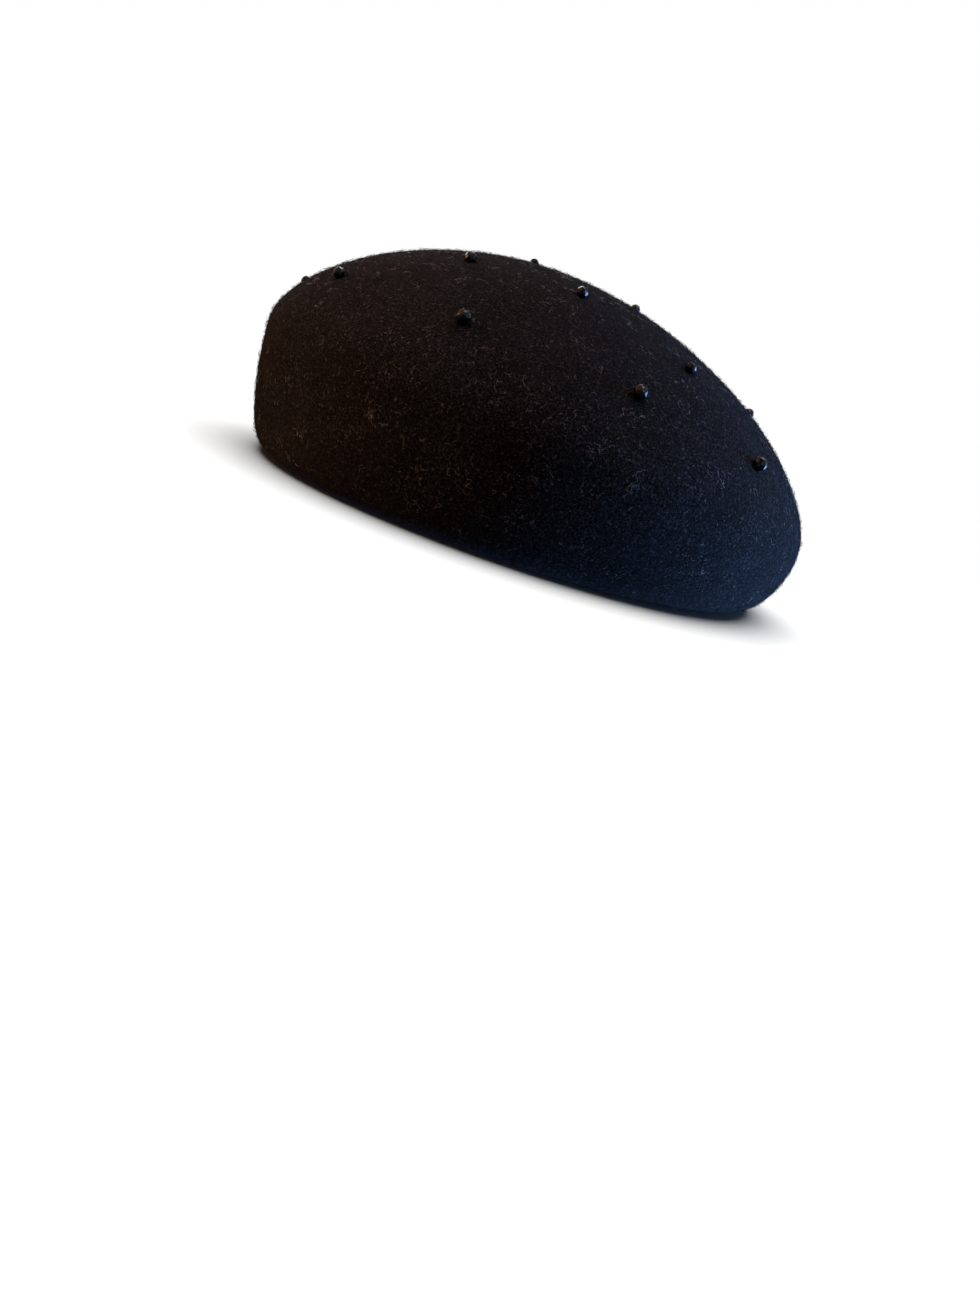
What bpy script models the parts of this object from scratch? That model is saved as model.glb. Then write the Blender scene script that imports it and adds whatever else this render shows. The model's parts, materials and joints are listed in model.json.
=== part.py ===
"""Blocked felt beret with a wired edge, a petersham head band and faceted jet beads sewn over its crown.

Metres, +Z up. The hat stands on the flat underside of its rim at z = 0, with the middle of its widest
line at x = y = 0. -Y is the front, at the wearer's face, and +X is the wearer's left.
Bearings run round the hat in degrees from +X, so the front is at -90 and the centre back at 90.
"""

import math

import bmesh
import bpy
from mathutils import Matrix, Vector

# Pieces that touch on the real hat keep this much air between their solids
GAP = 0.0003

# Head opening, measured inside the petersham band, and how far it lies towards +X
HEAD_WIDTH = 0.163
HEAD_LENGTH = 0.199
OPENING_SHIFT = -0.002

# Felt shell: one blocked sheet whose edge turns under the rim and up inside as a collar
FELT = 0.002
RIM_SIDE = 0.0116
RIM_END = 0.0066
ROLL_HOLLOW = 0.0005
COLLAR_HEIGHT = 0.014

# Widest line: how far it stands out past the rim, its height, and its fall from -X to +X
OVERHANG_SIDE = 0.009
OVERHANG_END = 0.013
GIRTH_HEIGHT = 0.034
GIRTH_FALL = 0.09

# Crown tip, and the fullness of the dome and of the wall under it
CROWN_HEIGHT = 0.09
CROWN_SHIFT = -0.014
DOME_INWARD = 1.1
DOME_UPWARD = 1.25
WALL_INWARD = 1.5
WALL_DOWNWARD = 0.95

# Petersham ribbon: laid inside the collar, its ends lapped at the centre back
RIBBON_WIDTH = 0.025
RIBBON = 0.0006
RIBBON_LIFT = 0.001
RIBBON_SEAM = 0.003
LAP_ANGLE = 15.0
LAP_EASE = 15.0

# Millinery wire on the collar's cut edge, closed by a crimped sleeve at the centre back
WIRE_DIAMETER = 0.0012
WIRE_END_SPACE = 0.001
WIRE_SEAM = 0.002
SLEEVE_WALL = 0.0003
SLEEVE_LENGTH = 0.012

# Fire-polished jet beads, as diameter across the corners, then their shape as shares of it: length,
# shoulders along each half, and width of the hole's mouths. Each is rolled on by an angle from the last.
# Then the thread that holds each one
LARGE_BEAD = 0.0044
SMALL_BEAD = 0.0037
BEAD_LENGTH = 0.92
BEAD_SHOULDER = 0.46
BEAD_MOUTH = 0.42
BEAD_HOLE = 0.001
BEAD_SUNK = 0.0006
BEAD_SIDES = 8
BEAD_ROLL = 17.0
THREAD = 0.0004
KNOT = 0.0012
NEEDLE_HOLE = 0.001
NEEDLE_OFFSET = 0.0005

# Each bead: bearing, climb from the widest line (0) to the crown tip (90), turn of its hole, diameter
BEADS = [
    (-174, 23, 35, SMALL_BEAD),
    (-142, 28, 80, SMALL_BEAD),
    (-122, 53, 15, SMALL_BEAD),
    (-108, 28, -20, LARGE_BEAD),
    (180, 84, 60, SMALL_BEAD),
    (-85, 56, 10, SMALL_BEAD),
    (-75, 28, 12, LARGE_BEAD),
    (-7, 72, 100, SMALL_BEAD),
    (-56, 44, -30, SMALL_BEAD),
    (-46, 24, 25, LARGE_BEAD),
    (-6, 43, 70, SMALL_BEAD),
    (10, 22, -10, SMALL_BEAD),
    (18, 58, 50, SMALL_BEAD),
    (36, 34, 85, LARGE_BEAD),
    (54, 56, -40, SMALL_BEAD),
    (66, 28, 20, LARGE_BEAD),
    (84, 45, 65, SMALL_BEAD),
    (102, 27, -15, LARGE_BEAD),
    (112, 60, 30, SMALL_BEAD),
    (128, 37, 95, SMALL_BEAD),
    (147, 57, 5, SMALL_BEAD),
    (158, 27, -50, LARGE_BEAD),
    (170, 46, 40, SMALL_BEAD),
]

# Bearings that every ring round the hat has its corners at
SIDES = 48
STEP = 360 / SIDES

# The felt's straight-sided facets lie this much inside the curve at most
FACET_SAG = 0.0004

# Growth of the head opening's outline to each layer of the edge
COLLAR_FACE = RIBBON + GAP
COLLAR_BACK = COLLAR_FACE + FELT
SLEEVE_RADIUS = WIRE_DIAMETER / 2 + GAP + SLEEVE_WALL
WIRE_GROWTH = COLLAR_FACE + FELT / 2
WIRE_HEIGHT = COLLAR_HEIGHT + GAP + SLEEVE_RADIUS


def edge_point(bearing, growth, height):
    """Point on the head opening's outline, grown outwards and raised."""
    angle = math.radians(bearing)
    x = OPENING_SHIFT + (HEAD_WIDTH / 2 + growth) * math.cos(angle)
    y = (HEAD_LENGTH / 2 + growth) * math.sin(angle)
    return Vector((x, y, height))


def hem_point(bearing):
    """Outer edge of the rim's flat underside."""
    angle = math.radians(bearing)
    widening = Vector((RIM_SIDE * math.cos(angle), RIM_END * math.sin(angle), 0))
    return edge_point(bearing, COLLAR_FACE, 0) + widening


def girth_point(bearing):
    """Widest line of the hat, which falls towards +X and is centred on the origin."""
    angle = math.radians(bearing)
    x = (HEAD_WIDTH / 2 + COLLAR_FACE + RIM_SIDE + OVERHANG_SIDE) * math.cos(angle)
    y = (HEAD_LENGTH / 2 + COLLAR_FACE + RIM_END + OVERHANG_END) * math.sin(angle)
    return Vector((x, y, GIRTH_HEIGHT - GIRTH_FALL * x))


def dome_point(bearing, climb):
    """Crown's show face, from the widest line at climb 0 to the tip at climb 90."""
    girth = girth_point(bearing)
    tip = Vector((CROWN_SHIFT, 0, CROWN_HEIGHT))
    inward = 1 - max(0.0, math.cos(math.radians(climb))) ** DOME_INWARD
    upward = math.sin(math.radians(climb)) ** DOME_UPWARD
    return Vector((*girth.lerp(tip, inward).xy, girth.z + (tip.z - girth.z) * upward))


def wall_point(bearing, fall):
    """Side wall's show face, from the widest line at fall 0 to the rim at fall 90."""
    girth = girth_point(bearing)
    hem = hem_point(bearing)
    inward = 1 - max(0.0, math.cos(math.radians(fall))) ** WALL_INWARD
    downward = math.sin(math.radians(fall)) ** WALL_DOWNWARD
    return Vector((*girth.lerp(hem, inward).xy, girth.z * (1 - downward)))


def skin_mesh(name, rings, loop=False, caps=False, tip=None):
    """Mesh through rings of points: a loop joins its last ring to its first, a tip closes the first."""
    mesh = bpy.data.meshes.new(name)
    bm = bmesh.new()
    rows = [[bm.verts.new(point) for point in ring] for ring in rings]
    pairs = list(zip(rows, rows[1:]))
    if loop:
        pairs.append((rows[-1], rows[0]))
    for near, far in pairs:
        for corners in zip(near, near[1:] + near[:1], far[1:] + far[:1], far):
            bm.faces.new(corners)
    if caps:
        bm.faces.new(rows[0])
        bm.faces.new(rows[-1])
    if tip:
        point = bm.verts.new(tip)
        for corner, following in zip(rows[0], rows[0][1:] + rows[0][:1]):
            bm.faces.new((point, corner, following))
    bmesh.ops.recalc_face_normals(bm, faces=bm.faces)
    bm.to_mesh(mesh)
    bm.free()
    return mesh


def finish(name, colour, roughness, metallic=0.0):
    material = bpy.data.materials.new(name)
    material.use_nodes = True
    shader = material.node_tree.nodes["Principled BSDF"]
    shader.inputs["Base Color"].default_value = (*colour, 1)
    shader.inputs["Roughness"].default_value = roughness
    shader.inputs["Metallic"].default_value = metallic
    return material


def place(name, mesh, material, parent, smooth_angle=None):
    """Object of its own for one sub-part; a smooth angle rounds the shading of edges below it."""
    mesh.materials.clear()
    mesh.materials.append(material)
    if smooth_angle:
        mesh.shade_smooth()
        mesh.set_sharp_from_angle(angle=math.radians(smooth_angle))
    piece = bpy.data.objects.new(name, mesh)
    bpy.context.scene.collection.objects.link(piece)
    piece.parent = parent
    return piece


def tube_ring(bearing, growth, height, radius, sides=6):
    """Cross-section of a round piece that runs round the head opening."""
    turns = [math.tau * side / sides for side in range(sides)]
    return [edge_point(bearing, growth + radius * math.cos(t), height + radius * math.sin(t)) for t in turns]


def felt_shell(material, parent):
    """The show face from the crown tip to the collar's cut edge, given the felt's thickness behind it."""
    bearings = [STEP * side for side in range(SIDES)]
    climbs = (80, 71, 63, 55, 47, 39, 31, 24, 17, 11, 5, 0)
    falls = (12, 30, 50, 70, 90)
    rings = [[dome_point(b, climb) for b in bearings] for climb in climbs]
    rings += [[wall_point(b, fall) for b in bearings] for fall in falls]
    roll = FELT + ROLL_HOLLOW
    for turn in (0, 30, 60, 90):
        inward = roll * (1 - math.sin(math.radians(turn)))
        rise = roll * (1 - math.cos(math.radians(turn)))
        rings.append([edge_point(b, COLLAR_FACE + inward, rise) for b in bearings])
    rings.append([edge_point(b, COLLAR_FACE, COLLAR_HEIGHT) for b in bearings])
    mesh = skin_mesh("felt_body", rings, tip=Vector((CROWN_SHIFT, 0, CROWN_HEIGHT)))
    if mesh.polygons[-1].normal.z < 0:
        mesh.flip_normals()
    shell = place("felt_body", mesh, material, parent, smooth_angle=40)
    thickness = shell.modifiers.new("felt thickness", "SOLIDIFY")
    thickness.thickness = FELT
    thickness.offset = -1
    thickness.use_even_offset = True
    thickness.use_quality_normals = True
    return shell


def cut_out(shell, name, mesh):
    """Takes a hidden cutter's shape out of the felt."""
    cutter = bpy.data.objects.new(name, mesh)
    bpy.context.scene.collection.objects.link(cutter)
    cutter.hide_render = True
    cutter.display_type = "WIRE"
    cut = shell.modifiers.new(name, "BOOLEAN")
    cut.operation = "DIFFERENCE"
    cut.solver = "EXACT"
    cut.object = cutter


def edge_wire(material, parent):
    radius = WIRE_DIAMETER / 2
    reach = math.degrees(WIRE_END_SPACE / 2 / (HEAD_WIDTH / 2 + WIRE_GROWTH))
    sleeve = sleeve_reach()
    first = math.floor((90 + sleeve) / STEP) + 1
    last = math.ceil((450 - sleeve) / STEP) - 1
    bearings = [90 + reach, 90 + sleeve, *(STEP * side for side in range(first, last + 1))]
    bearings += [450 - sleeve, 450 - reach]
    rings = [tube_ring(b, WIRE_GROWTH, WIRE_HEIGHT, radius) for b in bearings]
    return place("edge_wire", skin_mesh("edge_wire", rings, caps=True), material, parent, 70)


def sleeve_reach():
    """Half of the sleeve's length, as a bearing from the centre back."""
    return math.degrees(SLEEVE_LENGTH / 2 / (HEAD_WIDTH / 2 + WIRE_GROWTH))


def wire_sleeve(material, parent):
    """Thin tube over both ends of the wire: up its outside, and back down its bore."""
    bore = WIRE_DIAMETER / 2 + GAP
    bearings = [90 - sleeve_reach(), 90, 90 + sleeve_reach()]
    rings = [tube_ring(b, WIRE_GROWTH, WIRE_HEIGHT, SLEEVE_RADIUS, 10) for b in bearings]
    rings += [tube_ring(b, WIRE_GROWTH, WIRE_HEIGHT, bore, 10) for b in reversed(bearings)]
    return place("wire_sleeve", skin_mesh("wire_sleeve", rings, loop=True), material, parent, 40)


def lap_inset(bearing):
    """How far the ribbon has eased inwards to pass over its own first end."""
    eased = (bearing - (450 - LAP_ANGLE / 2 - LAP_EASE)) / LAP_EASE
    return (RIBBON + GAP) * min(1.0, max(0.0, eased))


def petersham_band(material, parent):
    sweep = 360 + LAP_ANGLE
    count = round(sweep / STEP)
    rings = []
    for bearing in (90 - LAP_ANGLE / 2 + sweep * side / count for side in range(count + 1)):
        inner = -lap_inset(bearing)
        low = RIBBON_LIFT
        high = RIBBON_LIFT + RIBBON_WIDTH
        corners = [(inner, low), (inner + RIBBON, low), (inner + RIBBON, high), (inner, high)]
        rings.append([edge_point(bearing, growth, height) for growth, height in corners])
    return place("petersham_band", skin_mesh("petersham_band", rings, caps=True), material, parent, 40)


def band_thread(material, parent):
    """Seam line on the ribbon's face, near its lower edge, stepping over the lapped ends."""
    inset = GAP + THREAD / 2
    start = 90 + LAP_ANGLE / 2
    rings = []
    for bearing in (start + STEP * side for side in range(SIDES)):
        over_lap = RIBBON + GAP if bearing == start else lap_inset(bearing)
        rings.append(tube_ring(bearing, -over_lap - inset, RIBBON_LIFT + RIBBON_SEAM, THREAD / 2, 5))
    return place("band_thread", skin_mesh("band_thread", rings, loop=True), material, parent, 80)


def wire_thread(material, parent):
    """Seam line behind the collar, just under its cut edge, of the stitches that whip the wire on."""
    growth = COLLAR_BACK + GAP + THREAD / 2
    height = COLLAR_HEIGHT - WIRE_SEAM
    rings = [tube_ring(STEP * side, growth, height, THREAD / 2, 5) for side in range(SIDES)]
    return place("wire_thread", skin_mesh("wire_thread", rings, loop=True), material, parent, 80)


def lathe_ring(along, radius, sides, half_turned=False):
    """Ring of corners round the bead's hole, which runs along X."""
    turns = [math.tau * (side + half_turned / 2) / sides for side in range(sides)]
    return [Vector((along, radius * math.cos(t), radius * math.sin(t))) for t in turns]


def bead_length(diameter):
    return BEAD_LENGTH * diameter


def bead_profile(diameter):
    """Bead's outline from mouth to mouth of its hole, as distance along the hole and radius."""
    half = bead_length(diameter) / 2
    radius = diameter / 2
    shoulder = radius * math.cos(math.pi / BEAD_SIDES)
    first_half = [(-half, BEAD_MOUTH * radius), (-BEAD_SHOULDER * half, shoulder)]
    return first_half + [(0, radius)] + [(-x, r) for x, r in reversed(first_half)]


def bead_mesh(diameter):
    """Faceted bead: flat trapezoids from the hole's mouths to two shoulders, and a belt of triangles."""
    half = bead_length(diameter) / 2
    rings = [lathe_ring(x, r, BEAD_SIDES, half_turned=(x == 0)) for x, r in bead_profile(diameter)]
    rings += [lathe_ring(x, BEAD_HOLE / 2, BEAD_SIDES) for x in (half, -half)]
    mesh = skin_mesh("jet bead", rings, loop=True)
    bm = bmesh.new()
    bm.from_mesh(mesh)
    bmesh.ops.triangulate(bm, faces=bm.faces, quad_method="SHORT_EDGE")
    bm.to_mesh(mesh)
    bm.free()
    return mesh


def bead_frame(bearing, climb, turn, diameter):
    """Bead's place: X along its hole, Z straight out of the felt, its underside sunk into the nap."""
    around = dome_point(bearing + 0.05, climb) - dome_point(bearing - 0.05, climb)
    upward = dome_point(bearing, climb + 0.05) - dome_point(bearing, climb - 0.05)
    normal = around.cross(upward).normalized()
    hole = Matrix.Rotation(math.radians(turn), 3, normal) @ around.normalized()
    centre = dome_point(bearing, climb) + normal * (diameter / 2 - BEAD_SUNK)
    axes = Matrix((hole, normal.cross(hole), normal)).transposed()
    return Matrix.Translation(centre) @ axes.to_4x4()


def needle_offset(diameter):
    """Distance along the hole from the bead's middle to each of the thread's needle holes."""
    return bead_length(diameter) / 2 + NEEDLE_OFFSET


def thread_mesh(diameter):
    """Closed loop: through the bead, down both needle holes, and knotted under the felt."""
    reach = needle_offset(diameter)
    bend = THREAD
    surface = -(diameter / 2 - BEAD_SUNK)
    under = surface - FELT - FACET_SAG - GAP - KNOT / 2
    half = [(0, 0), (reach - bend, 0), (reach, -bend), (reach, surface - FELT / 2)]
    half += [(reach, under + bend), (reach - bend, under), (KNOT / 2, under)]
    path = half + [(0, under)] + [(-x, z) for x, z in reversed(half[1:])]
    rings = []
    for place_in_loop, (x, z) in enumerate(path):
        before = Vector(path[place_in_loop - 1])
        after = Vector(path[(place_in_loop + 1) % len(path)])
        along = (after - before).normalized()
        side = Vector((-along.y, 0, along.x))
        radius = KNOT / 2 if (x, z) == (0, under) else THREAD / 2
        turns = [math.tau * corner / 5 for corner in range(5)]
        middle = Vector((x, 0, z))
        rings.append([middle + radius * (side * math.cos(t) + Vector((0, math.sin(t), 0))) for t in turns])
    return skin_mesh("bead thread", rings, loop=True)


def joined_copies(name, mesh, frames):
    """One mesh of the same closed shape at several places."""
    bm = bmesh.new()
    for frame in frames:
        before = len(bm.verts)
        bm.from_mesh(mesh)
        bm.verts.ensure_lookup_table()
        bmesh.ops.transform(bm, matrix=frame, verts=bm.verts[before:])
    joined = bpy.data.meshes.new(name)
    bm.to_mesh(joined)
    bm.free()
    return joined


def seat_mesh(diameter):
    """Hollow that the bead sits and turns in: its outline spun round its hole and grown by the gap."""
    sides = 12
    stretch = 1 + GAP / (bead_length(diameter) / 2)
    flats = math.cos(math.pi / sides)
    rings = [lathe_ring(x * stretch, (r + GAP) / flats, sides) for x, r in bead_profile(diameter)]
    return skin_mesh("bead seat", rings, caps=True)


def needle_mesh(depth):
    half = depth / 2
    rings = [lathe_ring(x, NEEDLE_HOLE / 2, 6) for x in (-half, half)]
    return skin_mesh("needle hole", rings, caps=True)


def sew_beads(shell, jet, cotton, parent):
    """Every bead with its thread, its seat in the nap and its two needle holes through the felt."""
    needle = needle_mesh(3 * FELT)
    stand_up = Matrix.Rotation(math.radians(90), 4, "Y")
    beads = {size: bead_mesh(size) for size in (LARGE_BEAD, SMALL_BEAD)}
    threads = {size: thread_mesh(size) for size in (LARGE_BEAD, SMALL_BEAD)}
    seats = {size: [] for size in (LARGE_BEAD, SMALL_BEAD)}
    needles = []
    for number, (bearing, climb, turn, size) in enumerate(BEADS, start=1):
        frame = bead_frame(bearing, climb, turn, size)
        rolled = frame @ Matrix.Rotation(math.radians(BEAD_ROLL * number), 4, "X")
        place(f"bead_{number:02}", beads[size], jet, parent).matrix_world = rolled
        place(f"bead_thread_{number:02}", threads[size], cotton, parent, 80).matrix_world = frame
        seats[size].append(frame)
        middle = -(size / 2 - BEAD_SUNK) - FELT / 2
        for side in (-1, 1):
            offset = Vector((side * needle_offset(size), 0, middle))
            needles.append(frame @ Matrix.Translation(offset) @ stand_up)
    cut_out(shell, "large bead seats", joined_copies("large seats", seat_mesh(LARGE_BEAD), seats[LARGE_BEAD]))
    cut_out(shell, "small bead seats", joined_copies("small seats", seat_mesh(SMALL_BEAD), seats[SMALL_BEAD]))
    cut_out(shell, "needle holes", joined_copies("needle holes", needle, needles))


for leftover in list(bpy.data.objects):
    bpy.data.objects.remove(leftover)

beret = bpy.data.objects.new("beret", None)
bpy.context.scene.collection.objects.link(beret)

black_felt = finish("black felt", (0.011, 0.010, 0.011), 0.95)
black_ribbon = finish("black petersham", (0.014, 0.013, 0.014), 0.7)
black_thread = finish("black thread", (0.010, 0.010, 0.011), 0.6)
wrapped_wire = finish("wrapped wire", (0.020, 0.019, 0.019), 0.75)
sleeve_metal = finish("crimped sleeve", (0.60, 0.58, 0.55), 0.35, metallic=1.0)
jet_glass = finish("jet glass", (0.004, 0.004, 0.005), 0.05)

felt = felt_shell(black_felt, beret)
edge_wire(wrapped_wire, beret)
wire_sleeve(sleeve_metal, beret)
wire_thread(black_thread, beret)
petersham_band(black_ribbon, beret)
band_thread(black_thread, beret)
sew_beads(felt, jet_glass, black_thread, beret)
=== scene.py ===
"""Looks of the blocked felt beret: its nap, jet beads, petersham band, wired edge and every stitch."""

import json
import math

import bmesh
import bpy
import numpy as np
from mathutils import Matrix, Quaternion, Vector, noise


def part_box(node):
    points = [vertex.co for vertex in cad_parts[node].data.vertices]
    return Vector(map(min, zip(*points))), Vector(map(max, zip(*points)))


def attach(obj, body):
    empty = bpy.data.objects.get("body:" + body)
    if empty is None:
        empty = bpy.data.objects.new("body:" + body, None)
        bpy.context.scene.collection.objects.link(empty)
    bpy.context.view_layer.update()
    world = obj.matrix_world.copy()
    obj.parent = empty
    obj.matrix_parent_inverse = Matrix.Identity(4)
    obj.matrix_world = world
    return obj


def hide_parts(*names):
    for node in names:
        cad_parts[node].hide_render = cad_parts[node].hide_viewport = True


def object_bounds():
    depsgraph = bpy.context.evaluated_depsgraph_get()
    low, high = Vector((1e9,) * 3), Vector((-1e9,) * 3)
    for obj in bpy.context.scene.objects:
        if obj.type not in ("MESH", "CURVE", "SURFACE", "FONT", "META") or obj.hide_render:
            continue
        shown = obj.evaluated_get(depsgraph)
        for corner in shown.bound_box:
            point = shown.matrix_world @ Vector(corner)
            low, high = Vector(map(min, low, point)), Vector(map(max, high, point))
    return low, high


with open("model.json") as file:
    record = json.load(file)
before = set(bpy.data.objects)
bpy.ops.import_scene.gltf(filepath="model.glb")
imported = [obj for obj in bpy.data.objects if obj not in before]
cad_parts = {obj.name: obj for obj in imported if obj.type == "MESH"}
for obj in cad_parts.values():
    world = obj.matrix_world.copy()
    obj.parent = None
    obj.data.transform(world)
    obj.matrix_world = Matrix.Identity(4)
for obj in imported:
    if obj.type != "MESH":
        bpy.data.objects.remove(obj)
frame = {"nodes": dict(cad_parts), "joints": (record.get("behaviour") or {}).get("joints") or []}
cad_low, cad_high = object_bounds()


# Camera. A hand-held view from just in front of the wearer's face, a little above the rim,
# leaning over so that the wearer's left side of the hat hangs lower in the picture.
camera = bpy.data.objects.new("camera", bpy.data.cameras.new("camera"))
bpy.context.scene.collection.objects.link(camera)
camera.data.sensor_fit = "VERTICAL"
camera.data.sensor_height = 36
camera.data.sensor_width = 36
camera.data.lens = 27.05
camera.data.clip_start = 0.01
camera.location = (-0.002, -0.3778, 0.0400)
camera_aim = Vector((0.0097, -0.0086, -0.0492))
camera_lean = math.radians(19.3)
camera.rotation_mode = "QUATERNION"
level = (camera_aim - camera.location).to_track_quat("-Z", "Y")
camera.rotation_quaternion = level @ Quaternion((0, 0, 1), camera_lean)
bpy.context.scene.camera = camera


# Studio. A pale floor that the hat stands on, evenly lit from above so that it stays white, and an
# even white surround. What the hat itself sees is a dim room, warm on its right side and cool on its
# left, and the floor throws no light back, so the felt keeps its blacks.
bpy.context.scene.view_settings.view_transform = "Standard"
bpy.ops.mesh.primitive_plane_add(size=8, location=(0, 0, cad_low.z - 0.0003))
floor = bpy.context.object
floor.name = "floor"
floor.visible_diffuse = False
floor.visible_glossy = False
floor.visible_shadow = False
floor_paper = bpy.data.materials.new("floor paper")
floor_paper.use_nodes = True
paper_shader = floor_paper.node_tree.nodes["Principled BSDF"]
paper_shader.inputs["Base Color"].default_value = (0.86, 0.86, 0.86, 1)
paper_shader.inputs["Roughness"].default_value = 0.9
paper_shader.inputs["Specular IOR Level"].default_value = 0.1
floor.data.materials.append(floor_paper)

world = bpy.data.worlds.new("studio")
bpy.context.scene.world = world
world.use_nodes = True
world_nodes = world.node_tree.nodes
ambient = world_nodes["Background"]
surround = world_nodes.new("ShaderNodeBackground")
surround.inputs["Color"].default_value = (1, 1, 1, 1)
surround.inputs["Strength"].default_value = 1.0
ray = world_nodes.new("ShaderNodeLightPath")
either = world_nodes.new("ShaderNodeMixShader")
join = world.node_tree.links.new
way = world_nodes.new("ShaderNodeTexCoord")
parts = world_nodes.new("ShaderNodeSeparateXYZ")
join(way.outputs["Generated"], parts.inputs["Vector"])
across_room = world_nodes.new("ShaderNodeMapRange")
across_room.inputs["From Min"].default_value = -0.8
across_room.inputs["From Max"].default_value = 0.8
join(parts.outputs["X"], across_room.inputs["Value"])
room = world_nodes.new("ShaderNodeValToRGB")
room.color_ramp.elements[0].color = (1.0, 0.55, 0.30, 1)
room.color_ramp.elements[1].color = (0.50, 0.75, 1.0, 1)
for stop, tone in ((0.36, (0.10, 0.08, 0.07, 1)), (0.62, (0.08, 0.09, 0.11, 1))):
    room.color_ramp.elements.new(stop).color = tone
join(across_room.outputs["Result"], room.inputs["Fac"])
up_room = world_nodes.new("ShaderNodeMapRange")
up_room.inputs["From Min"].default_value = -0.25
up_room.inputs["From Max"].default_value = 0.35
join(parts.outputs["Z"], up_room.inputs["Value"])
shaded = world_nodes.new("ShaderNodeMix")
shaded.data_type = "RGBA"
shaded.inputs["A"].default_value = (0.05, 0.05, 0.05, 1)
join(up_room.outputs["Result"], shaded.inputs["Factor"])
join(room.outputs["Color"], shaded.inputs["B"])
join(shaded.outputs["Result"], ambient.inputs["Color"])
# Polished glass mirrors a brighter room than the one that lights the felt
brightness = world_nodes.new("ShaderNodeMapRange")
brightness.inputs["To Min"].default_value = 0.10
brightness.inputs["To Max"].default_value = 0.6
join(ray.outputs["Is Glossy Ray"], brightness.inputs["Value"])
join(brightness.outputs["Result"], ambient.inputs["Strength"])
join(ray.outputs["Is Camera Ray"], either.inputs["Fac"])
join(ambient.outputs["Background"], either.inputs[1])
join(surround.outputs["Background"], either.inputs[2])
join(either.outputs["Shader"], world_nodes["World Output"].inputs["Surface"])

floor_only = bpy.data.collections.new("floor only")
floor_only.objects.link(floor)
all_but_floor = bpy.data.collections.new("all but the floor")
all_but_floor.objects.link(floor)
all_but_floor.collection_objects[0].light_linking.link_state = "EXCLUDE"
overhead = bpy.data.objects.new("overhead light", bpy.data.lights.new("overhead light", "SUN"))
bpy.context.scene.collection.objects.link(overhead)
overhead.data.energy = 4.2
overhead.data.angle = math.radians(70)
overhead.light_linking.receiver_collection = floor_only


# Lamps: a warm one at the wearer's right, daylight low at the wearer's left and a little behind, a
# dim soft one overhead, one behind the hat that draws its outline, and two small bare ones that show
# as glints in the beads.
def softbox(name, place, size, colour, power):
    """A flat lamp that faces the middle of the hat and lights all but the floor."""
    lamp = bpy.data.objects.new(name, bpy.data.lights.new(name, "AREA"))
    bpy.context.scene.collection.objects.link(lamp)
    lamp.data.shape = "RECTANGLE"
    lamp.data.size, lamp.data.size_y = size
    lamp.data.color = colour
    lamp.data.energy = power
    lamp.location = place
    lamp.rotation_mode = "QUATERNION"
    lamp.rotation_quaternion = (Vector((0, 0, 0.04)) - Vector(place)).to_track_quat("-Z", "Y")
    lamp.light_linking.receiver_collection = all_but_floor


softbox("warm lamp", (-1.34, -0.12, 0.20), (0.9, 0.9), (1.0, 0.50, 0.28), 9)
softbox("daylight", (1.26, 0.27, -0.13), (1.1, 1.1), (0.226, 0.45, 1.0), 33)
softbox("top light", (0.1, 0.15, 1.4), (1.0, 1.0), (1.0, 0.79, 0.86), 5.8)
softbox("outline light", (-0.3, 1.3, 0.5), (0.9, 0.6), (0.9, 0.95, 1.0), 4)
softbox("glint lamp", (-0.35, -0.95, 0.95), (0.13, 0.13), (1.0, 0.86, 0.66), 0.55)
softbox("second glint lamp", (0.75, -0.8, 0.7), (0.10, 0.10), (0.85, 0.95, 1.0), 0.35)


# Felt body. One hood of black fur felt, steamed and pulled over a block: dome, side wall and flat
# rim, with the edge turned up inside the head opening as a collar. Each bead sits in a small hollow
# where its thread pulls the felt in, and two needle holes take the thread through.
FELT = 0.002
ROLL_HOLLOW = 0.0005
RIBBON = 0.0006
GAP = 0.0003
COLLAR_FACE = RIBBON + GAP
COLLAR_BACK = COLLAR_FACE + FELT
COLLAR_HEIGHT = 0.014
HEAD_HALF_WIDTH = 0.163 / 2
HEAD_HALF_LENGTH = 0.199 / 2
OPENING_SHIFT = -0.002
RIM_SIDE = 0.0116
RIM_END = 0.0066
cad_felt_low, cad_felt_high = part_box("felt_body")
GIRTH_HALF_WIDTH = (cad_felt_high.x - cad_felt_low.x) / 2
GIRTH_HALF_LENGTH = (cad_felt_high.y - cad_felt_low.y) / 2
GIRTH_HEIGHT = 0.034
GIRTH_FALL = 0.09
CROWN_TIP = np.array((-0.014, 0.0, cad_felt_high.z))

BEAD_SUNK = 0.0006
felt_sides = 360
around_felt = np.radians(np.arange(felt_sides) * 360 / felt_sides)


def opening_line(angle, growth, height):
    """The head opening's outline, grown outwards and raised, as an array of points."""
    x = OPENING_SHIFT + (HEAD_HALF_WIDTH + growth) * np.cos(angle)
    y = (HEAD_HALF_LENGTH + growth) * np.sin(angle)
    return np.stack(np.broadcast_arrays(x, y, height), axis=-1)


def girth_line(angle):
    """The hat's widest line, which falls towards +X."""
    x = GIRTH_HALF_WIDTH * np.cos(angle)
    y = GIRTH_HALF_LENGTH * np.sin(angle)
    return np.stack((x, y, GIRTH_HEIGHT - GIRTH_FALL * x), axis=-1)


def between(near, far, inward, upward):
    """Points from near to far, with their own shares sideways and in height."""
    share = np.array((inward, inward, upward))
    return near + (far - near) * share


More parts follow.
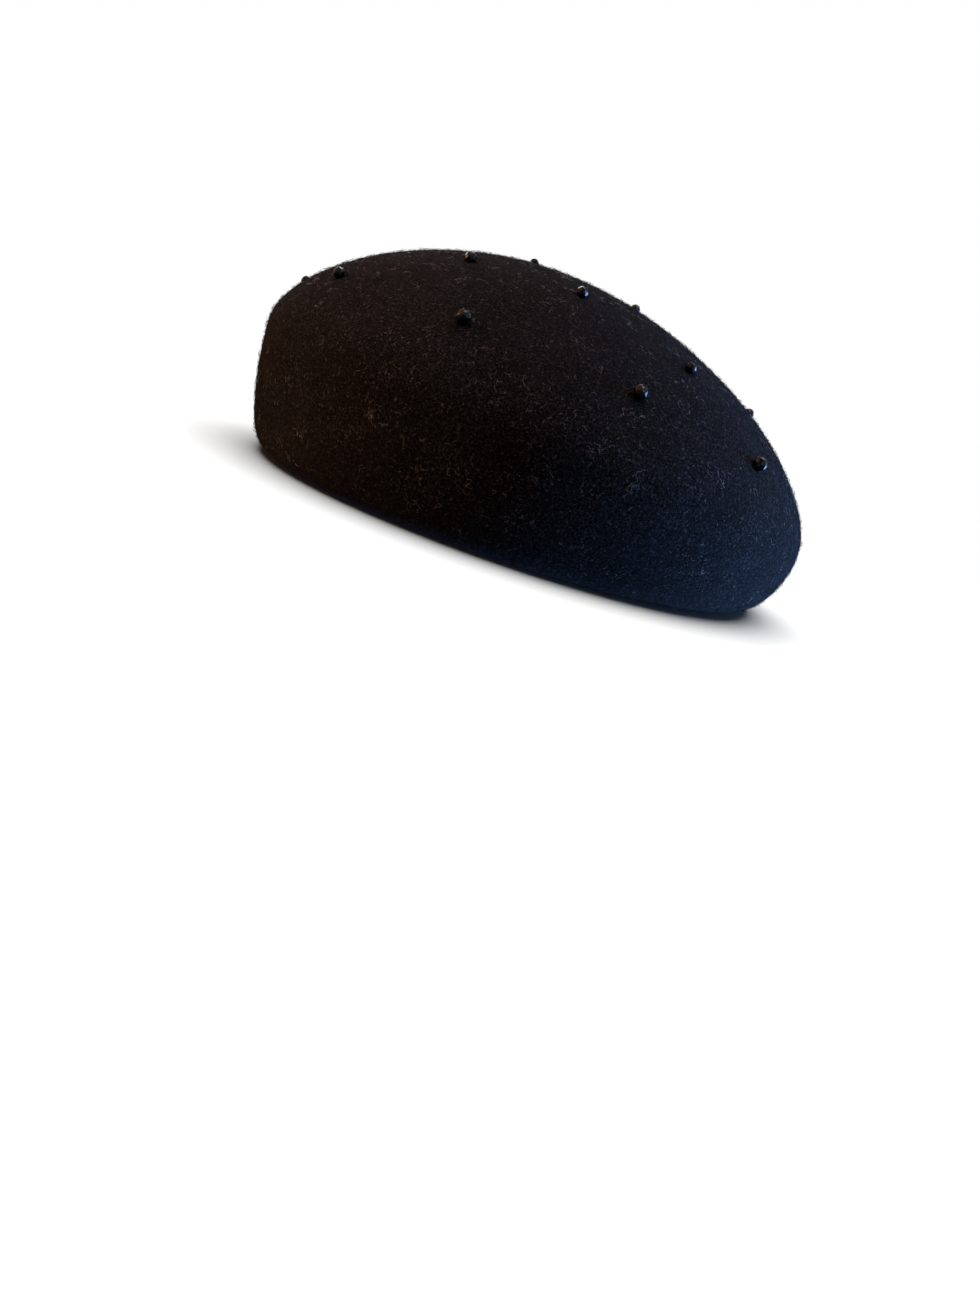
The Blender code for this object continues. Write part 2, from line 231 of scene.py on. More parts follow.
girth = girth_line(around_felt)
hem = opening_line(around_felt, COLLAR_FACE, 0.0)
hem[:, 0] += RIM_SIDE * np.cos(around_felt)
hem[:, 1] += RIM_END * np.sin(around_felt)
roll = FELT + ROLL_HOLLOW
block = [between(girth, CROWN_TIP, 1, 1)]
dome_fullness = (1.1, 1.25)
for climb in np.radians(np.linspace(89, 0, 120)):
    inward = 1 - math.cos(climb) ** dome_fullness[0]
    block.append(between(girth, CROWN_TIP, inward, math.sin(climb) ** dome_fullness[1]))
wall_fullness = (1.5, 0.95)
for fall in np.radians(np.linspace(2, 90, 50)):
    inward = 1 - abs(math.cos(fall)) ** wall_fullness[0]
    block.append(between(girth, hem, inward, math.sin(fall) ** wall_fullness[1]))
block.append(opening_line(around_felt, COLLAR_FACE + roll, 0.0))
block = np.array(block)

# The rows are spaced out evenly, then eased, because steamed felt turns no edge sharply. The edge
# where the wall turns under is eased most.
felt_steps = 104
edge_rows = 25
edge_blend = 10
easings = 5
edge_easings = 15
felt_rows = np.empty((felt_steps, felt_sides, 3))
walked = np.cumsum(np.linalg.norm(np.diff(block, axis=0, prepend=block[:1]), axis=2), axis=0)
for side in range(felt_sides):
    stops = np.linspace(0, walked[-1, side], felt_steps)
    for axis in range(3):
        felt_rows[:, side, axis] = np.interp(stops, walked[:, side], block[:, side, axis])
under_rim = np.arange(1, felt_steps - 1) - (felt_steps - 1 - edge_rows)
under_rim = np.clip(under_rim / edge_blend, 0, 1)[:, None, None]
for easing in range(easings + edge_easings):
    ease = 1 if easing < easings else under_rim
    felt_rows[1:-1] += 0.25 * ease * (felt_rows[:-2] + felt_rows[2:] - 2 * felt_rows[1:-1])
felt_rows = list(felt_rows[1:])
hem_row = len(felt_rows) - 1
for turn in np.radians(np.linspace(0, 90, 9))[1:]:
    inward = COLLAR_FACE + roll * (1 - math.sin(turn))
    felt_rows.append(opening_line(around_felt, inward, roll * (1 - math.cos(turn))))
for height in np.linspace(roll, COLLAR_HEIGHT, 6)[1:]:
    felt_rows.append(opening_line(around_felt, COLLAR_FACE, height))
felt_rows = np.array(felt_rows)

# Where each bead sits: its middle, the line of its hole, the way out of the felt, and its radius
bead_places = {}
for joint in frame["joints"]:
    name = joint["child"]
    middle = np.array(joint["pos_m"])
    hole = np.array(joint["axis"]) / np.linalg.norm(joint["axis"])
    loop = np.array([v.co for v in frame["nodes"][name.replace("bead", "bead_thread")].data.vertices])
    outward = middle - loop.mean(axis=0)
    outward -= hole * (outward @ hole)
    outward /= np.linalg.norm(outward)
    corners = np.array([v.co for v in frame["nodes"][name].data.vertices]) - middle
    radius = np.linalg.norm(corners - np.outer(corners @ hole, hole), axis=1).max()
    bead_places[name] = (middle, hole, outward, radius)

# The felt bulges a little under each bead, where the thread draws it up against the glass
pull_reach = 0.005
for middle, hole, outward, radius in bead_places.values():
    seat = middle - outward * (radius - BEAD_SUNK)
    far = np.linalg.norm(felt_rows - seat, axis=-1)
    nearest = felt_rows.reshape(-1, 3)[far.argmin()]
    felt_rows += (np.exp(-((far / pull_reach) ** 2)) * ((seat - nearest) @ outward))[..., None] * outward

# Steamed felt is never quite even: slow swells of a fraction of a millimetre
swell = 0.00018
swell_size = 0.028
wall_end = hem_row - 6
for row in felt_rows[:wall_end]:
    for point in row:
        lift = noise.noise(Vector(point) / swell_size)
        point *= 1 + swell * lift / np.linalg.norm(point)

felt_mesh = bpy.data.meshes.new("felt_body_surface")
row_start = np.arange(len(felt_rows) - 1)[:, None] * felt_sides
here = np.arange(felt_sides)
following = np.roll(here, -1)
next_row = row_start + felt_sides
felt_quads = np.stack(
    (row_start + here, next_row + here, next_row + following, row_start + following), axis=-1
).reshape(-1, 4)
tip_index = felt_rows.shape[0] * felt_sides
felt_faces = felt_quads.tolist() + [(tip_index, a, b) for a, b in zip(here.tolist(), following.tolist())]
felt_mesh.from_pydata(felt_rows.reshape(-1, 3).tolist() + [CROWN_TIP.tolist()], [], felt_faces)
felt = bpy.data.objects.new("felt_body_surface", felt_mesh)
bpy.context.scene.collection.objects.link(felt)
bpy.ops.object.select_all(action="DESELECT")
bpy.context.view_layer.objects.active = felt
felt.select_set(True)
wall = felt.modifiers.new("felt thickness", "SOLIDIFY")
wall.thickness = FELT
wall.offset = -1
wall.use_even_offset = True
wall.use_quality_normals = True
bpy.ops.object.modifier_apply(modifier=wall.name)


def cutter_of(name, build):
    """A solid to cut the felt with, with one closed shape for each bead, made by build."""
    shape = bmesh.new()
    for middle, hole, outward, radius in bead_places.values():
        axes = Matrix((hole, np.cross(outward, hole), outward)).transposed().to_4x4()
        build(shape, Matrix.Translation(middle) @ axes, radius)
    mesh = bpy.data.meshes.new(name)
    shape.to_mesh(mesh)
    shape.free()
    cutter = bpy.data.objects.new(name, mesh)
    bpy.context.scene.collection.objects.link(cutter)
    return cutter


NEEDLE_HOLE = 0.001
NEEDLE_OFFSET = 0.0005
BEAD_LENGTH = 0.92
SEAT_ROOM = 0.00035
SEAT_LENGTH = 1.15


def seat_shape(shape, place, radius):
    """The hollow that a bead turns in, a little larger than the bead."""
    size = Matrix.Diagonal((radius * SEAT_LENGTH, radius + SEAT_ROOM, radius + SEAT_ROOM, 1))
    bmesh.ops.create_uvsphere(shape, u_segments=28, v_segments=16, radius=1, matrix=place @ size)


def needle_shape(shape, place, radius):
    """The two needle holes, one off each end of the bead, right through the felt."""
    for side in (-1, 1):
        along = side * (BEAD_LENGTH * radius + NEEDLE_OFFSET)
        down = place @ Matrix.Translation((along, 0, -radius + BEAD_SUNK - FELT / 2))
        bmesh.ops.create_cone(
            shape,
            cap_ends=True,
            segments=10,
            radius1=NEEDLE_HOLE / 2,
            radius2=NEEDLE_HOLE / 2,
            depth=3 * FELT,
            matrix=down,
        )


for cutter in (cutter_of("bead seats", seat_shape), cutter_of("needle holes", needle_shape)):
    cut = felt.modifiers.new(cutter.name, "BOOLEAN")
    cut.object = cutter
    bpy.ops.object.modifier_apply(modifier=cut.name)
    bpy.data.objects.remove(cutter)
bpy.ops.object.shade_smooth_by_angle(angle=math.radians(50))


def new_group(name, inputs, outputs):
    """An empty shader group with its named inputs (with their first values) and outputs."""
    group = bpy.data.node_groups.new(name, "ShaderNodeTree")
    for socket, kind, value in inputs:
        made = group.interface.new_socket(socket, in_out="INPUT", socket_type=kind)
        made.default_value = value
    for socket, kind in outputs:
        group.interface.new_socket(socket, in_out="OUTPUT", socket_type=kind)
    return group, group.nodes.new("NodeGroupInput"), group.nodes.new("NodeGroupOutput")


def fibre_group():
    """Tangled fibres on a surface: thin wandering lines at two sizes, and the height that they stand up."""
    group, given, made = new_group(
        "tangled fibres",
        [
            ("Vector", "NodeSocketVector", (0, 0, 0)),
            ("Size", "NodeSocketFloat", 0.002),
            ("Curl", "NodeSocketFloat", 1.0),
        ],
        [("Fibres", "NodeSocketFloat"), ("Height", "NodeSocketFloat")],
    )
    link = group.links.new
    per_metre = group.nodes.new("ShaderNodeMath")
    per_metre.operation = "DIVIDE"
    per_metre.inputs[0].default_value = 1.0
    link(given.outputs["Size"], per_metre.inputs[1])
    masks = []
    for layer, finer in enumerate((1.0, 1.9)):
        scale = group.nodes.new("ShaderNodeVectorMath")
        scale.operation = "SCALE"
        link(given.outputs["Vector"], scale.inputs[0])
        link(per_metre.outputs[0], scale.inputs["Scale"])
        wander = group.nodes.new("ShaderNodeTexNoise")
        wander.inputs["Scale"].default_value = 1.1 * finer
        wander.inputs["Detail"].default_value = 3.0
        wander.inputs["Roughness"].default_value = 0.7
        link(scale.outputs["Vector"], wander.inputs["Vector"])
        centred = group.nodes.new("ShaderNodeVectorMath")
        centred.operation = "SUBTRACT"
        centred.inputs[1].default_value = (0.5, 0.5, 0.5 - 3.7 * layer)
        link(wander.outputs["Color"], centred.inputs[0])
        strength = group.nodes.new("ShaderNodeVectorMath")
        strength.operation = "SCALE"
        link(centred.outputs["Vector"], strength.inputs[0])
        link(given.outputs["Curl"], strength.inputs["Scale"])
        bent = group.nodes.new("ShaderNodeVectorMath")
        bent.operation = "ADD"
        link(scale.outputs["Vector"], bent.inputs[0])
        link(strength.outputs["Vector"], bent.inputs[1])
        cells = group.nodes.new("ShaderNodeTexVoronoi")
        cells.feature = "DISTANCE_TO_EDGE"
        cells.inputs["Scale"].default_value = finer
        link(bent.outputs["Vector"], cells.inputs["Vector"])
        line = group.nodes.new("ShaderNodeMapRange")
        line.inputs["From Min"].default_value = 0.0
        line.inputs["From Max"].default_value = 0.13
        line.inputs["To Min"].default_value = 1.0
        line.inputs["To Max"].default_value = 0.0
        link(cells.outputs["Distance"], line.inputs["Value"])
        # Fibres come and go, so that no line closes into a cell
        gaps = group.nodes.new("ShaderNodeTexNoise")
        gaps.inputs["Scale"].default_value = 2.6 * finer
        gaps.inputs["Detail"].default_value = 1.0
        link(scale.outputs["Vector"], gaps.inputs["Vector"])
        broken = group.nodes.new("ShaderNodeMapRange")
        broken.inputs["From Min"].default_value = 0.42
        broken.inputs["From Max"].default_value = 0.60
        link(gaps.outputs["Fac"], broken.inputs["Value"])
        shown = group.nodes.new("ShaderNodeMath")
        shown.operation = "MULTIPLY"
        link(line.outputs["Result"], shown.inputs[0])
        link(broken.outputs["Result"], shown.inputs[1])
        masks.append(shown)
    both = group.nodes.new("ShaderNodeMath")
    both.operation = "MAXIMUM"
    link(masks[0].outputs[0], both.inputs[0])
    link(masks[1].outputs[0], both.inputs[1])
    link(both.outputs[0], made.inputs["Fibres"])
    grain = group.nodes.new("ShaderNodeTexNoise")
    grain.inputs["Scale"].default_value = 4.0
    grain.inputs["Detail"].default_value = 2.0
    link(scale.outputs["Vector"], grain.inputs["Vector"])
    height = group.nodes.new("ShaderNodeMath")
    height.operation = "MULTIPLY_ADD"
    height.inputs[1].default_value = 0.5
    link(grain.outputs["Fac"], height.inputs[0])
    link(both.outputs[0], height.inputs[2])
    link(height.outputs[0], made.inputs["Height"])
    return group


tangled_fibres = fibre_group()


def soft_material(name, dark, light, size, curl, raised, roughness, sheen):
    """A fibrous finish: tangled fibres and specks in a lighter tone over a darker ground, with slow patches
    of lighter and darker. The lighter tone is partly paler fibres and partly painted glints off the fibres.
    """
    material = bpy.data.materials.new(name)
    material.use_nodes = True
    nodes, link = material.node_tree.nodes, material.node_tree.links.new
    shader = nodes["Principled BSDF"]
    shader.inputs["Roughness"].default_value = roughness
    shader.inputs["Specular IOR Level"].default_value = 0.08
    shader.inputs["Sheen Weight"].default_value = sheen
    shader.inputs["Sheen Roughness"].default_value = 0.45
    places = nodes.new("ShaderNodeTexCoord")
    fibres = nodes.new("ShaderNodeGroup")
    fibres.node_tree = tangled_fibres
    fibres.inputs["Size"].default_value = size
    fibres.inputs["Curl"].default_value = curl
    link(places.outputs["Object"], fibres.inputs["Vector"])
    patches = nodes.new("ShaderNodeTexNoise")
    patches.inputs["Scale"].default_value = 0.045 / size
    patches.inputs["Detail"].default_value = 4.0
    patches.inputs["Roughness"].default_value = 0.65
    link(places.outputs["Object"], patches.inputs["Vector"])
    drawn = nodes.new("ShaderNodeMath")
    drawn.operation = "MULTIPLY"
    link(fibres.outputs["Fibres"], drawn.inputs[0])
    link(patches.outputs["Fac"], drawn.inputs[1])
    # Ends of fibres standing up, too fine to see singly: the glints they catch are painted into the colour
    # as light specks
    specks = nodes.new("ShaderNodeTexNoise")
    specks.inputs["Scale"].default_value = 1.6 / size
    specks.inputs["Detail"].default_value = 2.0
    specks.inputs["Roughness"].default_value = 0.7
    link(places.outputs["Object"], specks.inputs["Vector"])
    painted_glint_specks = nodes.new("ShaderNodeMapRange")
    painted_glint_specks.inputs["From Min"].default_value = 0.58
    painted_glint_specks.inputs["From Max"].default_value = 0.70
    link(specks.outputs["Fac"], painted_glint_specks.inputs["Value"])
    amount = nodes.new("ShaderNodeMath")
    amount.operation = "MAXIMUM"
    link(drawn.outputs[0], amount.inputs[0])
    link(painted_glint_specks.outputs["Result"], amount.inputs[1])
    # The light tone is partly paler fibres and partly painted glints, on the fibre lines and on the specks
    tone = nodes.new("ShaderNodeMix")
    tone.data_type = "RGBA"
    tone.inputs["A"].default_value = (*dark, 1)
    tone.inputs["B"].default_value = (*light, 1)
    link(amount.outputs[0], tone.inputs["Factor"])
    link(tone.outputs["Result"], shader.inputs["Base Color"])
    bump = nodes.new("ShaderNodeBump")
    bump.inputs["Distance"].default_value = raised
    stand = nodes.new("ShaderNodeMath")
    stand.operation = "ADD"
    link(fibres.outputs["Height"], stand.inputs[0])
    link(specks.outputs["Fac"], stand.inputs[1])
    link(stand.outputs[0], bump.inputs["Height"])
    link(bump.outputs["Normal"], shader.inputs["Normal"])
    return material


# Its light fibres and specks are partly painted glints off the fibres
black_felt = soft_material(
    "black fur felt",
    dark=(0.0006, 0.0005, 0.0006),
    light=(0.22, 0.211, 0.217),
    size=0.0013,
    curl=1.2,
    raised=0.0004,
    roughness=0.9,
    sheen=0.02,
)
felt.data.materials.append(black_felt)
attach(felt, "beret")
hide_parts("felt_body")


# Nap. Short curly fibres that stand out of the felt's face all over, most of them black, some grown
# paler, each rooted just under the surface. They lie every way, because fur felt has no grain.
nap_rows = felt_rows[: wall_end + 1]
down_felt = np.diff(nap_rows, axis=0)
across_felt = np.roll(nap_rows, -1, axis=1) - nap_rows
facing = np.cross(down_felt, across_felt[:-1])
patch_area = np.linalg.norm(facing, axis=-1)
patch_share = (patch_area / patch_area.sum()).reshape(-1)
patch_facing = (facing / patch_area[..., None]).reshape(-1, 3)
patch_corner = nap_rows[:-1].reshape(-1, 3)
patch_down = down_felt.reshape(-1, 3)
patch_across = across_felt[:-1].reshape(-1, 3)
root_depth = 0.0002
bead_room = 0.0002

# Paler fibres keep together in tufts, with hardly any between them
tuft_size = 0.006
fewest = 0.06
patch_tuft = np.array([noise.noise(Vector(place) / tuft_size) for place in patch_corner])
patch_tuft = np.clip(0.35 + 1.6 * patch_tuft, fewest, None) ** 4


def grow_fibres(name, material, count, length, thickness, rise, curl, bends, seed, tufted=False):
    """Closed slivers with a three-sided section, bent at each step and drawn out to a point."""
    chance = np.random.default_rng(seed)
    share = patch_share * patch_tuft if tufted else patch_share
    patch = chance.choice(len(share), count, p=share / share.sum())
    down, across = chance.random((2, count, 1))
    root = patch_corner[patch] + patch_down[patch] * down + patch_across[patch] * across
    up = patch_facing[patch]
    east = patch_across[patch] / np.linalg.norm(patch_across[patch], axis=1)[:, None]
    north = np.cross(up, east)
    heading = chance.uniform(0, math.tau, count)
    pitch = rise * chance.uniform(0.3, 1.2, count)
    step = (length * chance.uniform(0.5, 1.5, count) / bends)[:, None]
    radius = (thickness / 2 * chance.uniform(0.7, 1.3, count))[:, None]
    point = root - up * root_depth
    rings = []
    spine = [point]
    for bend in range(bends):
        level = east * np.cos(heading)[:, None] + north * np.sin(heading)[:, None]
        way = level * np.cos(pitch)[:, None] + up * np.sin(pitch)[:, None]
        beside = np.cross(way, up)
        beside /= np.linalg.norm(beside, axis=1)[:, None]
        over = np.cross(beside, way)
        taper = 1 - 0.5 * bend / bends
        for corner in range(3):
            angle = math.tau * corner / 3
            rings.append(point + radius * taper * (beside * math.cos(angle) + over * math.sin(angle)))
        point = point + way * step
        spine.append(point)
        heading = heading + chance.normal(0, curl, count)
        pitch = pitch * 0.3 + chance.normal(0, 0.12, count)
    rings.append(point)
    clear = np.ones(count, bool)
    for middle, hole, outward, size in bead_places.values():
        for joint_point in spine:
            clear &= np.linalg.norm(joint_point - middle, axis=1) > size + bead_room
    for joint_point in spine:
        clear &= joint_point[:, 2] > thickness
    corners = np.stack(rings, axis=1)[clear]
    each = corners.shape[1]
    faces = [(0, 2, 1)]
    for bend in range(bends - 1):
        start = 3 * bend
        for corner in range(3):
            after = (corner + 1) % 3
            faces.append((start + corner, start + after, start + 3 + after, start + 3 + corner))
    last = 3 * (bends - 1)
    faces += [(last + corner, last + (corner + 1) % 3, each - 1) for corner in range(3)]
    all_faces = []
    for fibre in range(len(corners)):
        all_faces += [[fibre * each + corner for corner in face] for face in faces]
    mesh = bpy.data.meshes.new(name)
    mesh.from_pydata(corners.reshape(-1, 3).tolist(), [], all_faces)
    mesh.shade_smooth()
    mesh.materials.append(material)
    piece = bpy.data.objects.new(name, mesh)
    bpy.context.scene.collection.objects.link(piece)
    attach(piece, "beret")


def fibre_material(name, colour, roughness):
    """A plain finish for single fibres, too thin to show a pattern."""
    material = bpy.data.materials.new(name)
    material.use_nodes = True
    shader = material.node_tree.nodes["Principled BSDF"]
    shader.inputs["Base Color"].default_value = (*colour, 1)
    shader.inputs["Roughness"].default_value = roughness
    shader.inputs["Specular IOR Level"].default_value = 0.15
    return material


black_fibre = fibre_material("black fibre", (0.006, 0.0055, 0.006), 0.5)
grey_fibre = fibre_material("worn fibre", (0.040, 0.037, 0.038), 0.5)
pale_fibre = fibre_material("pale fibre", (0.70, 0.66, 0.66), 0.5)
for part in range(3):
    grow_fibres(f"nap_black_{part + 1}", black_fibre, 12000, 0.0020, 0.00010, 0.75, 0.8, 3, seed=10 + part)
grow_fibres("nap_worn", grey_fibre, 12000, 0.0018, 0.00010, 0.45, 0.9, 3, seed=20)
grow_fibres("nap_pale", pale_fibre, 5000, 0.0022, 0.00009, 0.45, 1.2, 5, seed=30, tufted=True)
grow_fibres("stray_hairs", pale_fibre, 220, 0.0050, 0.00008, 0.4, 0.8, 9, seed=40, tufted=True)


# Beads. Fire-polished black glass, pressed and cut to eight flat trapezoids at each end of the hole
# and a belt of triangles, then heated until each edge softens. Each one turns on its thread.
jet = bpy.data.materials.new("jet glass")
jet.use_nodes = True
jet_nodes, jet_link = jet.node_tree.nodes, jet.node_tree.links.new
jet_shader = jet_nodes["Principled BSDF"]
jet_shader.inputs["IOR"].default_value = 1.58
jet_places = jet_nodes.new("ShaderNodeTexCoord")
jet_smears = jet_nodes.new("ShaderNodeTexNoise")
jet_smears.inputs["Scale"].default_value = 700
jet_smears.inputs["Detail"].default_value = 3
jet_link(jet_places.outputs["Object"], jet_smears.inputs["Vector"])
jet_gloss = jet_nodes.new("ShaderNodeMapRange")
jet_gloss.inputs["From Min"].default_value = 0.35
jet_gloss.inputs["From Max"].default_value = 0.75
jet_gloss.inputs["To Min"].default_value = 0.03
jet_gloss.inputs["To Max"].default_value = 0.16
jet_link(jet_smears.outputs["Fac"], jet_gloss.inputs["Value"])
jet_link(jet_gloss.outputs["Result"], jet_shader.inputs["Roughness"])
jet_tone = jet_nodes.new("ShaderNodeMix")
jet_tone.data_type = "RGBA"
jet_tone.inputs["A"].default_value = (0.0025, 0.0022, 0.0026, 1)
jet_tone.inputs["B"].default_value = (0.009, 0.008, 0.009, 1)
jet_link(jet_smears.outputs["Fac"], jet_tone.inputs["Factor"])
jet_link(jet_tone.outputs["Result"], jet_shader.inputs["Base Color"])
jet_bump = jet_nodes.new("ShaderNodeBump")
jet_bump.inputs["Distance"].default_value = 0.00002
jet_bump.inputs["Strength"].default_value = 0.5
jet_link(jet_smears.outputs["Fac"], jet_bump.inputs["Height"])
jet_link(jet_bump.outputs["Normal"], jet_shader.inputs["Normal"])

for name in bead_places:
    glass = frame["nodes"][name].data.copy()
    cut_glass = bmesh.new()
    cut_glass.from_mesh(glass)
    bmesh.ops.remove_doubles(cut_glass, verts=cut_glass.verts, dist=1e-6)
    bmesh.ops.dissolve_limit(
        cut_glass, angle_limit=math.radians(3), verts=cut_glass.verts, edges=cut_glass.edges
    )
    cut_glass.to_mesh(glass)
    cut_glass.free()
    glass.materials.clear()
    glass.materials.append(jet)
    bead = bpy.data.objects.new(f"{name}_jet", glass)
    bpy.context.scene.collection.objects.link(bead)
    bpy.ops.object.select_all(action="DESELECT")
    bpy.context.view_layer.objects.active = bead
    bead.select_set(True)
    glass.shade_smooth()
    melted = bead.modifiers.new("melted edges", "BEVEL")
    melted.width = 0.00007
    melted.segments = 2
    melted.limit_method = "ANGLE"
    melted.angle_limit = math.radians(8)
    bpy.ops.object.modifier_apply(modifier=melted.name)
    flat = bead.modifiers.new("flat facets", "WEIGHTED_NORMAL")
    flat.keep_sharp = True
    bpy.ops.object.modifier_apply(modifier=flat.name)
    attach(bead, name)
    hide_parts(name)


# Bead threads. Waxed two-ply cotton: through the bead, down both needle holes, and tied under the
# felt in a small overhand knot.
THREAD = 0.0004
KNOT = 0.0012
KNOT_DROP = 0.0004
thread_lay = 0.0011


def along_line(points, spacing, closed):
    """The line through the points, with new points evenly spaced on it."""
    points = np.array(points, float)
    if closed:
        points = np.vstack((points, points[:1]))
    walked = np.concatenate(([0], np.cumsum(np.linalg.norm(np.diff(points, axis=0), axis=1))))
    count = max(4, round(walked[-1] / spacing))
    stops = np.linspace(0, walked[-1], count + 1)
    if closed:
        stops = stops[:-1]
    return np.stack([np.interp(stops, walked, points[:, axis]) for axis in range(3)], axis=1), walked[-1]


def carried_frames(points, closed):
    """Two directions square to the line at each point, carried along it without twisting."""
    if closed:
        ahead = np.roll(points, -1, axis=0) - np.roll(points, 1, axis=0)
    else:
        ahead = np.gradient(points, axis=0)
    ahead /= np.linalg.norm(ahead, axis=1)[:, None]
    side = np.cross(ahead[0], (0.31, 0.53, 0.79))
    side /= np.linalg.norm(side)
    first = side
    sides = []
    for way in ahead:
        side = side - way * (side @ way)
        side /= np.linalg.norm(side)
        sides.append(side)
    sides = np.array(sides)
    others = np.cross(ahead, sides)
    if closed:
        # What is left over after one round is shared out, so that the ends meet
        side = side - ahead[0] * (side @ ahead[0])
        over = math.atan2(side @ np.cross(ahead[0], first), side @ first)
        share = -over * np.arange(len(points)) / len(points)
        turned = sides * np.cos(share)[:, None] + others * np.sin(share)[:, None]
        others = others * np.cos(share)[:, None] - sides * np.sin(share)[:, None]
        sides = turned
    return sides, others


def tube_faces(rings, sides, closed, start):
    """Quads round a tube of rings, and a cap on each end of an open one."""
    faces = []
    for ring in range(rings if closed else rings - 1):
        near = start + ring * sides
        far = start + (ring + 1) % rings * sides
        for corner in range(sides):
            after = (corner + 1) % sides
            faces.append((near + corner, near + after, far + after, far + corner))
    if not closed:
        faces.append(tuple(start + corner for corner in reversed(range(sides))))
        faces.append(tuple(start + (rings - 1) * sides + corner for corner in range(sides)))
    return faces


def twist_thread(lines, diameter, lay, closed, sides=5, plies=2):
    """Corners and faces of thread along each line, its plies twisted round each other once every lay."""
    corners, faces = [], []
    ply_radius = diameter * 0.27
    offset = diameter * 0.23
    for line in lines:
        points, length = along_line(line, lay / 9, closed)
        sides_way, others_way = carried_frames(points, closed)
        turns = max(1, round(length / lay))
        phase = math.tau * turns * np.arange(len(points)) / (len(points) - (0 if closed else 1))
        for ply in range(plies):
            angle = (phase + math.tau * ply / plies)[:, None]
            middle = points + offset * (np.cos(angle) * sides_way + np.sin(angle) * others_way)
            start = len(corners)
            for place, way, other in zip(middle, sides_way, others_way):
                for corner in range(sides):
                    turn = math.tau * corner / sides
                    corners.append(place + ply_radius * (math.cos(turn) * way + math.sin(turn) * other))
            faces += tube_faces(len(points), sides, closed, start)
    return corners, faces


def piece_from(name, corners, faces, material, smooth_angle=60):
    """A finished piece of its own, riding with the hat."""
    mesh = bpy.data.meshes.new(name)
    mesh.from_pydata([tuple(point) for point in corners], [], faces)
    mesh.validate()
    mesh.materials.append(material)
    shape = bmesh.new()
    shape.from_mesh(mesh)
    bmesh.ops.recalc_face_normals(shape, faces=shape.faces)
    shape.to_mesh(mesh)
    shape.free()
    mesh.shade_smooth()
    mesh.set_sharp_from_angle(angle=math.radians(smooth_angle))
    piece = bpy.data.objects.new(name, mesh)
    bpy.context.scene.collection.objects.link(piece)
    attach(piece, "beret")
    return piece


black_cotton = soft_material(
    "black waxed cotton",
    dark=(0.006, 0.006, 0.007),
    light=(0.045, 0.043, 0.046),
    size=0.0004,
    curl=0.8,
    raised=0.00004,
    roughness=0.55,
    sheen=0.2,
)

for name, (middle, hole, outward, radius) in bead_places.items():
    reach = BEAD_LENGTH * radius + NEEDLE_OFFSET
    surface = -(radius - BEAD_SUNK)
    under = surface - FELT - GAP - KNOT / 2 - KNOT_DROP
    bend = THREAD
    half = [(0, 0), (reach - 2 * bend, 0), (reach - bend / 2, -bend / 2), (reach, -2 * bend)]
    half += [(reach, surface - FELT), (reach - 0.2 * bend, under + bend)]
    half += [(reach - bend, under), (KNOT / 2, under)]
    outline = half + [(0, under)] + [(-x, z) for x, z in reversed(half[1:])]
    loop = [middle + hole * x + outward * z for x, z in outline]
    corners, faces = twist_thread([loop], THREAD * 0.9, thread_lay, closed=True)
    # The overhand knot: a trefoil of the same thread, pulled small
    knot_line = []
    for turn in np.linspace(0, math.tau, 40, endpoint=False):
        across = math.sin(turn) + 2 * math.sin(2 * turn)
        back = math.cos(turn) - 2 * math.cos(2 * turn)
        deep = -math.sin(3 * turn)
        sideways = np.cross(outward, hole)
        offset = hole * across + sideways * back + outward * deep
        knot_line.append(middle + outward * (under - 0.0001) + offset * (KNOT * 0.22))
    more, more_faces = twist_thread([knot_line], THREAD * 0.8, thread_lay, closed=True)
    faces += [tuple(len(corners) + corner for corner in face) for face in more_faces]
    corners += more
    sewn_name = name.replace("bead", "sewn_bead_thread")
    thread = piece_from(sewn_name, corners, faces, black_cotton)
    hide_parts(name.replace("bead", "bead_thread"))


# Petersham band. Black ribbed ribbon, 25 mm wide, steamed to the oval and laid inside the collar; the
# ribs run across it, both edges are scalloped between the ribs, and its ends lap at the centre back.
RIBBON_WIDTH = 0.025
RIBBON_LIFT = 0.001
LAP_ANGLE = 15.0
LAP_EASE = 15.0
rib_pitch = 0.0011
rib_depth = 0.00009
scallop = 0.00022
edge_rounding = 0.00012
columns_per_rib = 6


def lap_inset(bearing):
    """How far the ribbon has eased inwards to pass over its own first end."""
    eased = (bearing - (450 - LAP_ANGLE / 2 - LAP_EASE)) / LAP_EASE
    return (RIBBON + GAP) * np.clip(eased, 0, 1)


fine_bearings = np.linspace(90 - LAP_ANGLE / 2, 450 + LAP_ANGLE / 2, 4000)
fine_line = opening_line(np.radians(fine_bearings), RIBBON / 2, 0.0)
ribbon_walked = np.concatenate(([0], np.cumsum(np.linalg.norm(np.diff(fine_line, axis=0), axis=1))))
ribbon_length = ribbon_walked[-1]
ribs = round(ribbon_length / rib_pitch)
column_walk = np.linspace(0, ribbon_length, ribs * columns_per_rib + 1)
column_bearing = np.interp(column_walk, ribbon_walked, fine_bearings)
rib_wave = np.abs(np.sin(math.pi * column_walk / (ribbon_length / ribs)))
corners = []
ribbon_heights = (0.0, 0.04, 0.5, 0.96, 1.0)
for bearing, wave in zip(column_bearing, rib_wave):
    face = -lap_inset(bearing) + rib_depth * (1 - wave)
    back = -lap_inset(bearing) + RIBBON - rib_depth * (1 - wave)
    cut_in = scallop * (1 - wave)
    for start, inward, shares in ((face, 1, ribbon_heights), (back, -1, ribbon_heights[::-1])):
        for share in shares:
            height = RIBBON_LIFT + cut_in + share * (RIBBON_WIDTH - 2 * cut_in)
            growth = start + (inward * edge_rounding if share in (0.0, 1.0) else 0.0)
            corners.append(opening_line(np.radians(bearing), growth, height))
around_ribbon = 2 * len(ribbon_heights)
faces = tube_faces(len(column_bearing), around_ribbon, False, 0)

